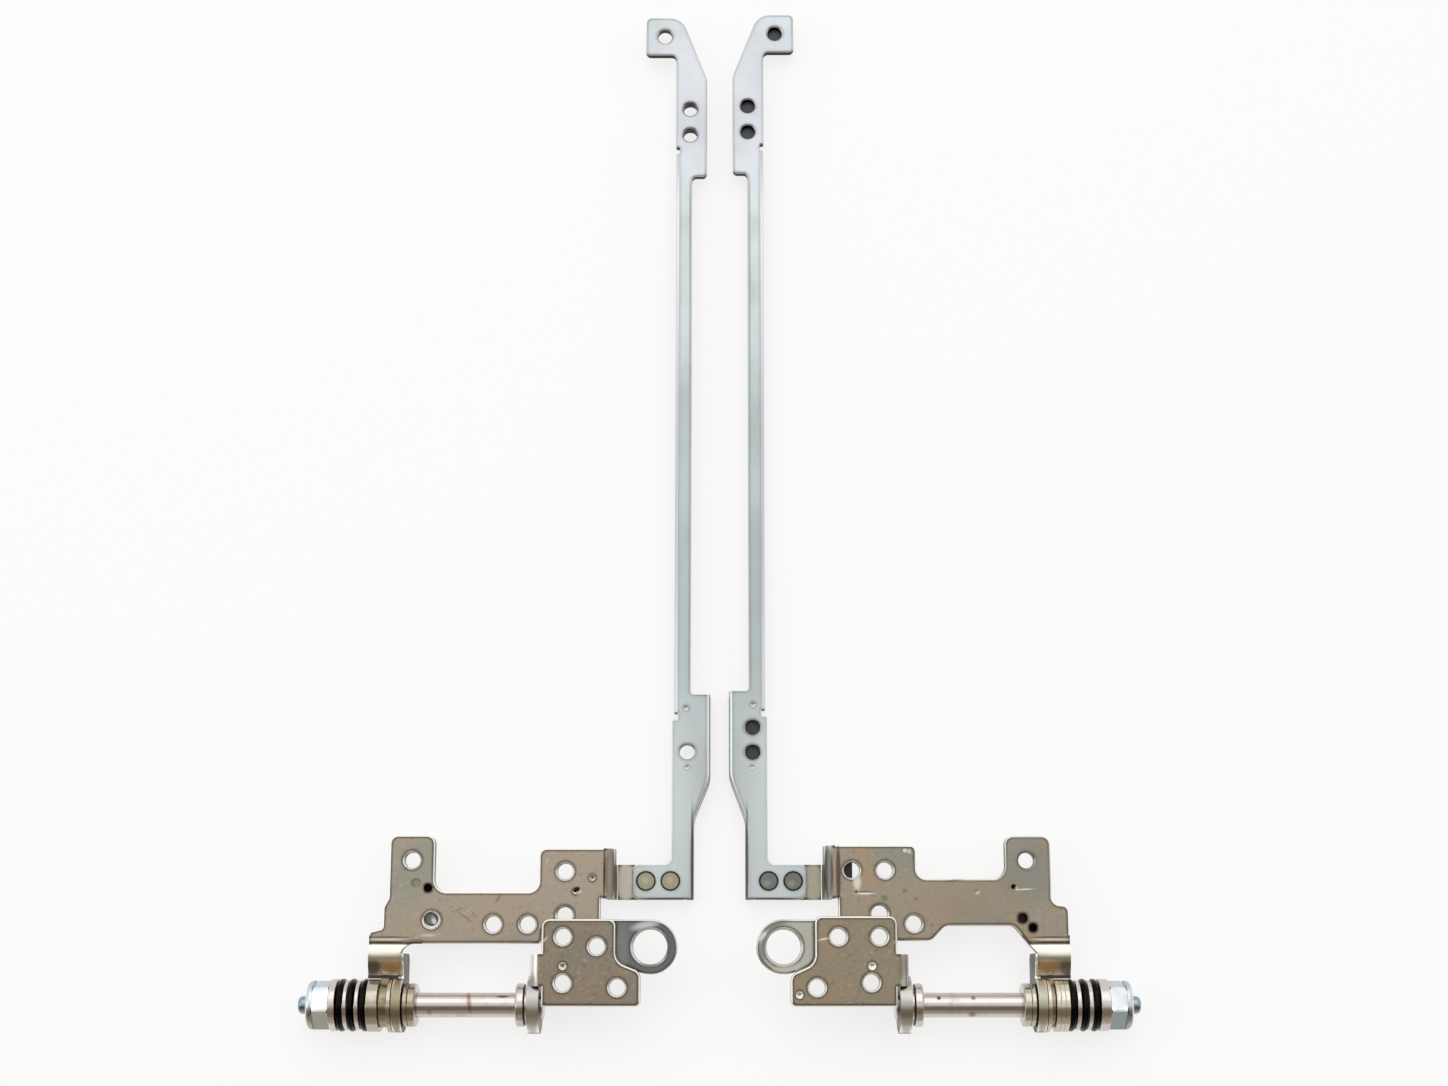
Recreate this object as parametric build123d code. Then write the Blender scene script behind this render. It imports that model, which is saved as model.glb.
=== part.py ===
from build123d import *
import math
import os

os.makedirs("parts", exist_ok=True)

# A pair of friction hinges for the lid of a laptop, lying flat with the lid shut.
# Each hinge is drawn once, on the +X side: x runs outwards from the centre line
# between the two hinges, y runs up the lid from the shaft's axis and z up from the
# table. The left hinge is the same drawing mirrored, with its own holes and outline.

# Sheet metal
bracket_t = 1.5          # steel of the lid bracket and the base bracket
strap_t = 1.2            # steel of the long strap
bend_inner_r = 0.4       # inside radius of every bend in the brackets
bend_outer_r = bend_inner_r + bracket_t
edge_round = 0.3         # rolled-over rim of the punched outlines
hole_lead = 0.28         # rolled-over rim of the punched holes
screw_hole_r = 1.3       # clear hole for an M2.5 screw
small_hole_depth = 1.1   # blind pilot holes

# Heights
eye_r = 4.6              # riveted eye of the base bracket, which touches the table
axis_z = eye_r
lid_plate_top = axis_z + 1.7
lid_plate_z = lid_plate_top - bracket_t
base_plate_top = axis_z + eye_r
base_plate_z = base_plate_top - bracket_t
strap_h = 3.0            # height of the strap's turned-down edge
strap_z = strap_h - strap_t
tongue_z = strap_z - bracket_t

# Shaft, turned in one piece
shaft_r = 2.0
flat_half = 1.5          # half the width across the two flats
ring_r = 3.5             # shoulder rings of the shaft
neck_r = 2.6
tail_r = 2.4             # riveted end inside the eye
tail_t = 0.55
stub_r = 1.45
stub_length = 1.7
running_clear = 0.05     # radial clearance where a piece turns on the shaft
slide_clear = 0.03       # radial clearance of the pieces threaded on to the shaft
face_gap = 0.1           # play between faces that turn against each other

# Stations along the shaft, measured outwards from the centre line
bend_x = 28.75           # outer edge of the base plate, where its flange turns down
eye_x = bend_x + bend_inner_r
eye_boss = 0.45          # half-sheared boss round the riveted end
neck_w = 0.45
ring_w = 1.5
shaft_w = 16.2
collar_w = 1.3
thrust_w = 0.75
boss_x = eye_x + bracket_t + eye_boss
ring_x = boss_x + neck_w
collar_x = ring_x + ring_w + shaft_w
thrust_x = collar_x + collar_w
ear_x = thrust_x + thrust_w + face_gap
stack_x = ear_x + bracket_t + face_gap

# Ear and tab of the lid bracket
ear_r = 4.4
ear_top_y = 8.3
ear_corner_r = 1.2
fold_round = 0.5         # rounding between the ear's inner face and the tab
tab_outer_x = ear_x + 5.75
tab_inner_x = ear_x + fold_round + 0.06    # just beyond that rounding
tab_crease_y = 10.6      # lower end of the flat plate
tab_root = 0.6           # lap of the tab's solid into the plate
root_y = tab_crease_y + tab_root
tab_end_y = 4.75
tab_end_z = lid_plate_top - 0.45
tab_curve = [            # upper face of the tab from the plate to its end: y, z, radius
    (root_y, lid_plate_top, 0), (tab_crease_y, lid_plate_top, 0.5),
    (9.75, lid_plate_top - 0.1, 0.4), (8.35, lid_plate_top + 0.55, 2.6),
    (6.3, lid_plate_top + 0.3, 4.0), (tab_end_y, tab_end_z, 0)]
key_depth = 0.55         # tongue that stops the keyed washer from turning
key_t = 1.0
key_clear = 0.05

# Friction washers, disc springs and nut
washer_r = 4.3
friction_ring_r = 4.4
keyed_r = 3.6
washer_round = 0.12
spring_r = 4.25
spring_t = 0.95
spring_rise = 0.25
spring_count = 3
spring_round = 0.42
spacer_t = 0.7
spacer_r = 4.0
nut_washer_r = 4.2
nut_flats = 7.0
nut_h = 2.7
nut_turn = 15.0          # how far the hexagon is turned about the shaft, in degrees
nut_chamfer = 0.35
nut_collar_h = 1.0
nut_collar_r = 3.95
nut_round = 0.7

# Lid bracket
web_x = 17.15            # outer face of the web between plate and tongue
web_in_x = web_x + bend_outer_r
plate_in_x = 19.5
plate_corner_r = 1.2
plate_low_y = 12.45      # lower edge of the part that lies under the base bracket
tongue_end_x = 6.0
tongue_y = 17.2
tongue_top_y = 22.95

# Strap, measured on its face
strap_bend_r = 0.8
strap_round = 0.22
foot_x = 14.5
foot_y = tongue_y
foot_top_y = 23.0
foot_corner_r = 1.2
strap_in_x = 4.3         # inner edge beside the foot
strap_out_x = 8.0
tab_in_x = 1.55          # inner edge of the wide tab
rail_in_x = 4.9          # narrow rail
rail_out_x = 7.65
head_in_x = 2.3
head_out_x = 7.75
hook_x = 13.2
hook_hole_x = 9.8
tab_top_y = 51.6
s_top_y = 36.9
s_low_y = 30.2
s_r = 6.0
notch_low_y = 47.2
notch_low_top = 48.5
notch_depth = 0.6
strap_top_y = 174.6
hook_hole_down = 3.6     # distances down from the strap's top
hook_low_down = 7.2
shoulder_down = 11.8
high_hole_down = 17.5
high_hole_low_down = 22.4
notch_top_down = 24.8
notch_low_down = 25.9
head_low_down = 30.3
hook_hole_y = strap_top_y - hook_hole_down
hook_low_y = strap_top_y - hook_low_down
shoulder_y = strap_top_y - shoulder_down
notch_high_top = strap_top_y - notch_top_down
notch_high_y = strap_top_y - notch_low_down
head_low_y = strap_top_y - head_low_down
high_hole_ys = (strap_top_y - high_hole_down, strap_top_y - high_hole_low_down)
shoulder_x = 6.8
shoulder_r = 3.2
tapped_r = 1.28          # holes with a drawn collar, tapped for the lid's screws
tapped_depth = 2.1
tapped_wall = 0.55
rivet_head_r = 1.5
rivet_r = 1.05
rivet_sink = 0.9
rivet_groove = 0.15      # open ring round the flush rivet heads
rivet_tail_r = 1.45
rivet_tail_t = 0.22
rivet_xs = (12.2, 8.15)
rivet_y = 20.2

# Base bracket
base_low_y = -0.3
base_corner_r = 0.9
flange_low_y = 3.0
flange_top_y = 8.1
flange_foot = 1.9        # height of the flange's back edge above the shaft's axis
ring_hole_r = 2.8
ring_eye_r = 4.42
ring_y = 9.3
ring_drop = 1.1          # step down from the plate to the ring
ring_lap = 1.0           # width over which plate and ring share their metal
ring_lead = 0.4

# What differs between the hinges, in the same drawing
LEFT = {
    "name": "left",
    "lift": 0.0,
    "low_holes": [(5.45, 41.8)],
    "high_holes": [(5.25, y) for y in high_hole_ys],
    "strap_dimples": [(5.66, 49.2, 0.5), (5.45, 39.2, 0.4)],
    "web_top_y": 25.35,
    "lid_outline": [
        (29.6, 25.35, 1.3), (29.6, 18.22, 1.7), (ear_x - 4.63, 18.22, 2.1), (ear_x - 4.63, 27.5, 1.4),
        (ear_x + 2.78, 27.5, 1.4), (ear_x + 2.78, 17.2, 1.5), (ear_x + 3.6, 15.7, 1.2),
        (ear_x + 3.6, 12.3, 0.5), (tab_outer_x, 11.75, 0.5), (tab_outer_x, tab_crease_y, 0),
        (ear_x - 2.9, tab_crease_y, 0), (ear_x - 2.9, 9.85, 0), (28.95, 9.85, 0.8),
        (28.95, plate_low_y, 0.8)],
    "neck": [(ear_x - 2.9, root_y, 0), (ear_x - 2.9, 9.85, 0), (tab_inner_x, 9.85, 2.0)],
    "lid_holes": [
        (ear_x - 0.95, 23.43), (25.3, 21.6), (37.0, 13.0), (31.35, 13.0), (25.3, 14.5),
        (ear_x - 4.35, 13.7)],
    "lid_small_holes": [(ear_x - 3.65, 18.9, 0.6)],
    "lid_dimples": [(20.85, 20.55, 0.55), (23.6, 18.3, 0.5)],
    "base_in_x": 12.75,
    "base_step_x": 16.8,
    "base_step_y": 6.9,
    "base_shoulder_y": 5.3,
    "base_top_y": 13.75,
    "base_holes": [(25.3, 10.9), (19.85, 9.35), (25.3, 3.5), (16.5, 2.8)],
    "base_dimples": [(25.3, 6.2, 0.65)],
    "ring_x": 11.25,
    "friction_ring": 0.75,
    "keyed_washer": 1.2,
    "pressure_washer": 1.9,
    "pressure_leaves": 1,
    "nut_washer": 1.1,
}
RIGHT = {
    "name": "right",
    "lift": 0.6,
    "low_holes": [(5.55, 45.9), (5.55, 41.7)],
    "high_holes": [(4.95, y) for y in high_hole_ys],
    "strap_dimples": [(5.66, 49.8, 0.5), (5.45, 39.2, 0.4)],
    "web_top_y": 25.85,
    "lid_outline": [
        (32.28, 25.85, 1.0), (32.28, 20.35, 1.7), (ear_x - 4.5, 20.35, 2.1), (ear_x - 4.5, 27.4, 1.4),
        (ear_x + 2.97, 27.4, 1.4), (ear_x + 2.97, 16.1, 1.4), (tab_outer_x, 16.1, 1.2),
        (tab_outer_x, tab_crease_y, 0), (ear_x - 1.55, tab_crease_y, 0), (ear_x - 3.3, 12.75, 1.6),
        (36.9, 12.75, 1.8), (34.6, 10.3, 1.6), (28.0, 10.3, 0.8), (28.0, plate_low_y, 0.8)],
    "neck": [(ear_x - 2.04, root_y, 0), (tab_inner_x, 8.09, 0.8)],
    "lid_holes": [(ear_x - 1.0, 23.38), (27.15, 21.8), (21.7, 21.8), (31.8, 13.1), (26.2, 14.75)],
    "lid_small_holes": [(ear_x - 1.85, 14.0, 0.75), (ear_x - 0.2, 12.45, 0.65)],
    "lid_dimples": [(ear_x - 3.2, 19.05, 0.4)],
    "base_in_x": 11.5,
    "base_step_x": 15.45,
    "base_step_y": 6.6,
    "base_shoulder_y": 4.8,
    "base_top_y": 14.2,
    "base_holes": [(25.9, 10.9), (19.25, 10.9), (24.5, 3.6), (15.75, 2.8)],
    "base_dimples": [(24.65, 6.2, 0.65), (12.9, 1.6, 0.6)],
    "ring_x": 10.4,
    "friction_ring": 0.6,
    "keyed_washer": 0.55,
    "pressure_washer": 2.2,
    "pressure_leaves": 3,
    "nut_washer": 1.6,
}

# The origin is the middle of the box on the table that holds both hinges
y_shift = -(strap_top_y + max(LEFT["lift"], RIGHT["lift"]) - eye_r) / 2


def outline(corners):
    """Face inside straight edges whose corners are rounded: each corner is x, y, radius."""
    starts, ends, arcs = [], [], []
    count = len(corners)
    for i in range(count):
        x, y, r = corners[i]
        point = Vector(x, y)
        to_last = (Vector(*corners[i - 1][:2]) - point).normalized()
        to_next = (Vector(*corners[(i + 1) % count][:2]) - point).normalized()
        if r == 0:
            starts.append(point)
            ends.append(point)
            continue
        half = math.radians(to_last.get_angle(to_next)) / 2
        reach = r / math.tan(half)
        middle = (to_last + to_next).normalized()
        first = point + to_last * reach
        last = point + to_next * reach
        starts.append(first)
        ends.append(last)
        arcs.append(ThreePointArc(first, point + middle * (r / math.sin(half) - r), last))
    lines = []
    for i in range(count):
        following = starts[(i + 1) % count]
        if (following - ends[i]).length > 1e-6:
            lines.append(Line(ends[i], following))
    return make_face(lines + arcs)


def slab(face, z, thickness):
    """Plate of a flat outline, from height z upwards."""
    return Pos(0, 0, z) * extrude(face, amount=thickness, dir=(0, 0, 1))


def side_profile(corners, x, width):
    """Solid of one section along the shaft: corners are y, z, radius."""
    face = Plane(origin=(x, 0, 0), x_dir=(0, 1, 0), z_dir=(1, 0, 0)) * outline(corners)
    return extrude(face, amount=width, dir=(1, 0, 0))


def end_profile(corners, y, depth):
    """Solid of one section up the lid: corners are x, z, radius."""
    face = Plane(origin=(0, y, 0), x_dir=(1, 0, 0), z_dir=(0, -1, 0)) * outline(corners)
    return extrude(face, amount=depth, dir=(0, 1, 0))


def bent_sheet(corners, thickness):
    """Section of bent sheet, closed below, from the corners of its upper face."""
    points = [Vector(a, b) for a, b, r in corners]
    ways = [(q - p).normalized() for p, q in zip(points, points[1:])]
    lower = []
    for i, (a, b, r) in enumerate(corners):
        before, after = ways[max(i - 1, 0)], ways[min(i, len(ways) - 1)]
        turn = before.X * after.Y - before.Y * after.X
        across = Vector(-before.Y - after.Y, before.X + after.X)
        reach = thickness / (1 + before.dot(after))
        inner_r = max(r - thickness, 0) if turn > 0 else r + thickness
        lower.append((a + across.X * reach, b + across.Y * reach, inner_r if r else 0))
    return corners + lower[::-1]


def turned(corners):
    """Solid turned about the shaft's axis: corners are x, distance from the axis, radius."""
    return Pos(0, 0, axis_z) * revolve(outline(corners), Axis.X, 360)


def drum(x, width, radius):
    """Cylinder about the shaft's axis."""
    return Pos(x + width / 2, 0, axis_z) * Rot(0, 90, 0) * Cylinder(radius, width)


def keyway(x, width, clear):
    """Shaft with its two flats, grown by a clearance, as a cutter for keyed bores."""
    bar = drum(x, width, shaft_r + clear)
    return bar & Pos(x + width / 2, 0, axis_z) * Box(width, shaft_r * 3, (flat_half + clear) * 2)


def top_rim(part, height, skip=()):
    """Upper outer edges of a plate, without those on the given lines x or y."""
    faces = [f for f in part.faces().filter_by(Plane.XY) if abs(f.center().Z - height) < 1e-4]
    edges = [e for f in faces for e in f.outer_wire().edges()]
    for axis, value in skip:
        edges = [e for e in edges if abs(getattr(e.center(), axis) - value) > 1e-3]
    return edges


def punch(part, spots, top, thickness, radius, lead):
    """Cut round holes with a rolled-over upper rim through a plate."""
    for x, y in spots:
        part = part - Pos(x, y, top - thickness / 2) * Cylinder(radius, thickness * 1.5)
        part = part - Pos(x, y, top - lead / 2) * Cone(radius, radius + lead, lead)
    return part


def dimple(part, spots, top):
    """Sink round punch marks of the given radius into a plate's upper face."""
    for x, y, r in spots:
        part = part - Pos(x, y, top + r * 0.6) * Sphere(r * 1.17)
    return part


def stack_stations(side):
    """Start of each washer outside the ear, with play on both faces of the keyed one."""
    keyed_x = stack_x + side["friction_ring"] + face_gap
    pressure_x = keyed_x + side["keyed_washer"] + face_gap
    return keyed_x, pressure_x, pressure_x + side["pressure_washer"]


def ear_and_tab(side):
    """Raised tab beside the plate, and the ear folded down from its inner edge."""
    neck = side["neck"]
    sheet = side_profile(bent_sheet(tab_curve, bracket_t), neck[0][0], tab_outer_x - neck[0][0])
    below_y = tab_end_y - 1
    plan = [(tab_inner_x, below_y, 0), (tab_outer_x, below_y, 0), (tab_outer_x, root_y, 0)] + neck
    tab = sheet & slab(outline(plan), 0, lid_plate_top * 2)
    strip = outline([(ear_x, below_y, 0), (ear_x + bracket_t, below_y, 0),
                     (ear_x + bracket_t, ear_top_y, 0), (ear_x, ear_top_y, 0)])
    fold = sheet & slab(strip, 0, lid_plate_top * 2)
    upper = []
    for edge in fold.edges():
        middle = edge.center()
        if abs(middle.X - ear_x) < 1e-4 and middle.Z > tab_end_z and middle.Y < ear_top_y - 1e-3:
            upper.append(edge)
    fold = fillet(upper, fold_round)
    back_z = axis_z - ear_r
    ear = side_profile([
        (0, back_z, 0), (ear_top_y, back_z, ear_corner_r), (ear_top_y, lid_plate_top - 0.8, 0),
        (tab_end_y + key_depth, lid_plate_top - 1.0, 0), (ear_r - 0.4, lid_plate_top - 0.4, 0),
        (0, lid_plate_top - 0.4, 0)], ear_x, bracket_t)
    return tab + fold + ear + drum(ear_x, bracket_t, ear_r)


def lid_bracket(side):
    """Plate screwed to the lid, with a tongue for the strap and a raised tab with the ear."""
    web_top = side["web_top_y"]
    contour = [(web_in_x, web_top, 0)] + side["lid_outline"]
    contour += [(plate_in_x, plate_low_y, plate_corner_r), (plate_in_x, tongue_y, 0)]
    contour += [(web_in_x, tongue_y, 0)]
    plate = slab(outline(contour), lid_plate_z, bracket_t)
    neck_x = side["neck"][0][0]
    rim = top_rim(plate, lid_plate_top, [("X", web_in_x), ("Y", tab_crease_y), ("X", neck_x)])
    plate = fillet(rim, edge_round)
    inner_x = web_x + bracket_t
    fold = [(web_in_x, lid_plate_top, 0), (web_x, lid_plate_top, bend_outer_r)]
    back = [(inner_x, lid_plate_z, bend_inner_r), (web_in_x, lid_plate_z, 0)]
    step = [(web_x, strap_z, bend_inner_r), (tongue_end_x, strap_z, 0), (tongue_end_x, tongue_z, 0)]
    step += [(inner_x, tongue_z, bend_outer_r)]
    tongue = end_profile(fold + step + back, tongue_y, tongue_top_y - tongue_y)
    lip_z = strap_z + bend_inner_r
    lip = end_profile(fold + [(web_x, lip_z, 0), (inner_x, lip_z, 0)] + back, tongue_top_y,
                      web_top - tongue_top_y)
    bracket = plate + tongue + lip + ear_and_tab(side)
    bracket = bracket - drum(ear_x - 1, bracket_t + 2, shaft_r + running_clear)
    keyed_x = stack_stations(side)[0]
    slot_w = side["keyed_washer"] + key_clear * 2
    slot = Box(slot_w, key_depth * 2, bracket_t * 4)
    bracket = bracket - Pos(keyed_x - key_clear + slot_w / 2, tab_end_y, axis_z) * slot
    bracket = punch(bracket, side["lid_holes"], lid_plate_top, bracket_t, screw_hole_r, hole_lead)
    for x, y, r in side["lid_small_holes"]:
        bracket = bracket - Pos(x, y, lid_plate_top) * Cylinder(r, small_hole_depth * 2)
    for x in rivet_xs:
        bracket = bracket - Pos(x, rivet_y, tongue_z) * Cylinder(rivet_r, bracket_t * 3)
    return dimple(bracket, side["lid_dimples"], lid_plate_top)


def strap(side):
    """Long strap up the side of the lid: a flat face with one edge turned down."""
    up = side["lift"]
    rail_top_y = notch_high_y + up
    rail_low_y = notch_low_top + up
    notch_x = rail_out_x - notch_depth
    contour = [
        (foot_x, foot_y, foot_corner_r), (foot_x, foot_top_y, foot_corner_r),
        (strap_out_x, foot_top_y, foot_corner_r), (strap_out_x, notch_low_y + up, 0.3),
        (notch_x, notch_low_y + up, 0.25), (notch_x, notch_high_top + up, 0.25),
        (head_out_x, notch_high_top + up, 0.3), (head_out_x, hook_low_y + up, 0.9),
        (hook_x, hook_low_y + up, 0.9), (hook_x, strap_top_y + up, 0.9),
        (shoulder_x, strap_top_y + up, shoulder_r), (head_in_x, shoulder_y + up, shoulder_r),
        (head_in_x, head_low_y + up, 0.8), (rail_in_x, head_low_y + up, 0.8),
        (rail_in_x, tab_top_y + up, 0.5), (tab_in_x, tab_top_y + up, 0),
        (tab_in_x, s_top_y + up, s_r), (strap_in_x, s_low_y, s_r), (strap_in_x, foot_y, 0)]
    face = slab(outline(contour), strap_z, strap_t)
    lean = math.atan2(strap_in_x - tab_in_x, s_top_y + up - s_low_y)
    miter = strap_t * math.tan(lean / 2)
    band = [
        (strap_in_x, foot_y, 0), (strap_in_x, s_low_y, s_r), (tab_in_x, s_top_y + up, s_r),
        (tab_in_x, tab_top_y + up, 0), (tab_in_x + strap_t, tab_top_y + up, 0),
        (tab_in_x + strap_t, s_top_y + up + miter, s_r - strap_t),
        (strap_in_x + strap_t, s_low_y + miter, s_r + strap_t), (strap_in_x + strap_t, foot_y, 0)]
    body = face + slab(outline(band), 0, strap_z)
    bends, rims = [], []
    for edge in top_rim(body, strap_h):
        middle = edge.center()
        on_band = middle.X < strap_in_x + 0.01 and foot_y < middle.Y < tab_top_y + up - 0.2
        (bends if on_band else rims).append(edge)
    body = fillet(bends, strap_bend_r)
    body = fillet([e for e in top_rim(body, strap_h) if any(is_same(e, r) for r in rims)], strap_round)
    wall_x = rail_out_x - strap_t
    body = body + end_profile(
        [(wall_x - 0.4, strap_h, 0), (rail_out_x, strap_h, strap_bend_r), (rail_out_x, 0, 0),
         (wall_x, 0, 0), (wall_x, strap_z, 0), (wall_x - 0.4, strap_z, 0)],
        rail_low_y, rail_top_y - rail_low_y)
    holes = side["low_holes"] + [(x, y + up) for x, y in side["high_holes"]]
    holes = holes + [(hook_hole_x, hook_hole_y + up)]
    for x, y in holes[:-1]:
        collar_h = tapped_depth - strap_t / 2
        collar = Cylinder(tapped_r + tapped_wall, collar_h)
        body = body + Pos(x, y, strap_h - tapped_depth + collar_h / 2) * collar
    body = punch(body, holes, strap_h, tapped_depth * 2, tapped_r, strap_round)
    for x in rivet_xs:
        body = body - Pos(x, rivet_y, strap_z) * Cylinder(rivet_r, strap_t * 3)
        body = body - Pos(x, rivet_y, strap_h - rivet_sink / 2) * Cone(rivet_r, rivet_head_r, rivet_sink)
        body = body - Pos(x, rivet_y, strap_h - rivet_groove) * Cone(
            rivet_head_r - rivet_groove, rivet_head_r + rivet_groove, rivet_groove * 2)
    return dimple(body, side["strap_dimples"], strap_h)


def is_same(edge, other):
    """Whether two edges have the same middle."""
    return (edge.center() - other.center()).length < 0.25


def strap_rivets():
    """Two rivets through foot and tongue, flush above and spread below."""
    shank_h = strap_h - rivet_sink - tongue_z
    rivets = []
    for x in rivet_xs:
        shank = Pos(0, 0, tongue_z + shank_h / 2) * Cylinder(rivet_r, shank_h)
        head = Pos(0, 0, strap_h - rivet_sink / 2) * Cone(rivet_r, rivet_head_r, rivet_sink)
        tail = Pos(0, 0, tongue_z - rivet_tail_t / 2) * Cylinder(rivet_tail_r, rivet_tail_t)
        rivets.append(Pos(x, rivet_y, 0) * (shank + head + tail))
    return rivets


def base_bracket(side):
    """Plate screwed to the base, with a ring ear and the flange that holds the shaft."""
    in_x, step_x = side["base_in_x"], side["base_step_x"]
    shoulder_y, top_y = side["base_shoulder_y"], side["base_top_y"]
    plate = slab(outline([
        (bend_x, base_low_y, 0), (bend_x, top_y, 1.3), (step_x, top_y, 1.2),
        (step_x, side["base_step_y"], 2.2), (in_x, shoulder_y, 1.5),
        (in_x, base_low_y, base_corner_r)]), base_plate_z, bracket_t)
    plate = fillet(top_rim(plate, base_plate_top), ring_lead)
    fold_z = base_plate_z - bend_inner_r
    fold = end_profile(
        [(bend_x - ring_lap, base_plate_top, 0), (bend_x + bend_outer_r, base_plate_top, bend_outer_r),
         (bend_x + bend_outer_r, fold_z, 0), (eye_x, fold_z, 0), (eye_x, base_plate_z, bend_inner_r),
         (bend_x - ring_lap, base_plate_z, 0)],
        flange_low_y, flange_top_y - flange_low_y)
    tangent = eye_r / math.sqrt(2)
    back = side_profile(
        [(0, axis_z - tangent, 0), (tangent, axis_z - tangent, 0),
         (flange_top_y, fold_z - flange_foot, 0.8), (flange_top_y, fold_z, 0), (0, fold_z, 0)],
        eye_x, bracket_t)
    eye = drum(eye_x, bracket_t, eye_r) + drum(eye_x + bracket_t, eye_boss, eye_r)
    over = Pos(eye_x, flange_low_y, fold_z) * Box(20, 5, 5, align=(Align.CENTER, Align.MIN, Align.MIN))
    ring_top_y = ring_y + ring_eye_r
    lap_x, lap_y = step_x + ring_lap, shoulder_y - ring_lap / 2
    ring_top = base_plate_top - ring_drop
    ear = outline([
        (side["ring_x"], ring_y, 0), (in_x + ring_lap, lap_y, 0), (lap_x, lap_y, 0),
        (lap_x, ring_top_y, 0), (side["ring_x"], ring_top_y, 0)])
    ring = slab(ear, ring_top - bracket_t, bracket_t)
    ring = ring + Pos(side["ring_x"], ring_y, ring_top - bracket_t / 2) * Cylinder(ring_eye_r, bracket_t)
    ring = fillet(top_rim(ring, ring_top, [("X", lap_x)]), edge_round)
    ring = punch(ring, [(side["ring_x"], ring_y)], ring_top, bracket_t, ring_hole_r, ring_lead)
    bracket = plate + fold + back + (eye - over) + ring
    bracket = bracket - drum(eye_x - 1, 4, shaft_r)
    bracket = punch(bracket, side["base_holes"], base_plate_top, bracket_t, screw_hole_r, hole_lead)
    return dimple(bracket, side["base_dimples"], base_plate_top)


def hinge_shaft(nut_end):
    """Shaft with a ring, a collar, two flats and a domed end."""
    tail_x = eye_x - tail_t
    body = turned([
        (tail_x, 0, 0), (tail_x, tail_r, 0.25), (eye_x, tail_r, 0), (eye_x, shaft_r, 0),
        (boss_x, shaft_r, 0), (boss_x, neck_r, 0), (ring_x, neck_r, 0), (ring_x, ring_r, 0.35),
        (ring_x + ring_w, ring_r, 0.35), (ring_x + ring_w, shaft_r, 0), (collar_x, shaft_r, 0),
        (collar_x, ring_r, 0.4), (thrust_x, ring_r, 0.15), (thrust_x, 0, 0)])
    bearing_w = stack_x - thrust_x
    stub = turned([(nut_end, 0, 0), (nut_end, stub_r, 0), (nut_end + stub_length, stub_r, 0.7),
                   (nut_end + stub_length, 0, 0)])
    return body + drum(thrust_x, bearing_w, shaft_r) + keyway(stack_x, nut_end - stack_x, 0) + stub


def washer(x, width, radius):
    """Washer keyed on the shaft's flats, with softened rims."""
    body = turned([
        (x, 0, 0), (x, radius, washer_round), (x + width, radius, washer_round), (x + width, 0, 0)])
    return body - keyway(x, width, slide_clear)


def disc_spring(x, outwards):
    """Conical spring washer whose rim leans towards the ear or away from it."""
    bore = shaft_r + slide_clear * 2
    rim_x = x + spring_rise * outwards
    hub_x = x + spring_rise * (1 - outwards)
    return turned([(hub_x, bore, 0.1), (rim_x, spring_r, spring_round),
                   (rim_x + spring_t, spring_r, spring_round), (hub_x + spring_t, bore, 0.1)])


def lock_nut(x):
    """Hexagon nut with chamfered corners and a rounded locking collar."""
    corner_r = nut_flats / math.sqrt(3)
    hexagon = Pos(x, 0, axis_z) * Rot(0, 90, 0) * Rot(0, 0, nut_turn) * extrude(
        RegularPolygon(corner_r, 6), amount=nut_h)
    cone = turned([
        (x, 0, 0), (x, corner_r - nut_chamfer, 0), (x + nut_chamfer * 0.6, corner_r, 0),
        (x + nut_h - nut_chamfer * 0.6, corner_r, 0), (x + nut_h, corner_r - nut_chamfer, 0),
        (x + nut_h, 0, 0)])
    end_x = x + nut_h + nut_collar_h
    collar = turned([(x + nut_h, 0, 0), (x + nut_h, nut_collar_r, 0), (end_x, nut_collar_r, nut_round),
                     (end_x, 0, 0)])
    return (hexagon & cone) + collar - drum(x, end_x - x, shaft_r + slide_clear)


def friction_stack(side):
    """All that is threaded on the shaft outside the ear, by name, and the nut's end."""
    keyed_x, pressure_x, spring_x = stack_stations(side)
    leaf_w = side["pressure_washer"] / side["pressure_leaves"]
    pieces = {"friction_ring": [washer(stack_x, side["friction_ring"], friction_ring_r)]}
    keyed_w = side["keyed_washer"]
    tongue_l = tab_end_y + key_depth - key_clear
    key_z = tab_end_z - key_clear - key_t / 2
    keyed = drum(keyed_x, keyed_w, keyed_r)
    keyed = keyed + Pos(keyed_x + keyed_w / 2, tongue_l / 2, key_z) * Box(keyed_w, tongue_l, key_t)
    pieces["keyed_washer"] = [keyed - drum(keyed_x, keyed_w, shaft_r + running_clear)]
    pieces["pressure_washer"] = [
        washer(pressure_x + leaf_w * i, leaf_w, washer_r) for i in range(side["pressure_leaves"])]
    pitch = spring_t + spring_rise + spacer_t
    for i in range(spring_count):
        pieces[f"disc_spring_{i + 1}"] = [disc_spring(spring_x + pitch * i, i % 2)]
    pieces["spring_spacers"] = [
        washer(spring_x + pitch * (i + 1) - spacer_t, spacer_t, spacer_r) for i in range(spring_count - 1)]
    nut_washer_x = spring_x + pitch * spring_count - spacer_t
    pieces["nut_washer"] = [washer(nut_washer_x, side["nut_washer"], nut_washer_r)]
    nut_x = nut_washer_x + side["nut_washer"]
    pieces["lock_nut"] = [lock_nut(nut_x)]
    return pieces, nut_x + nut_h + nut_collar_h


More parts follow.
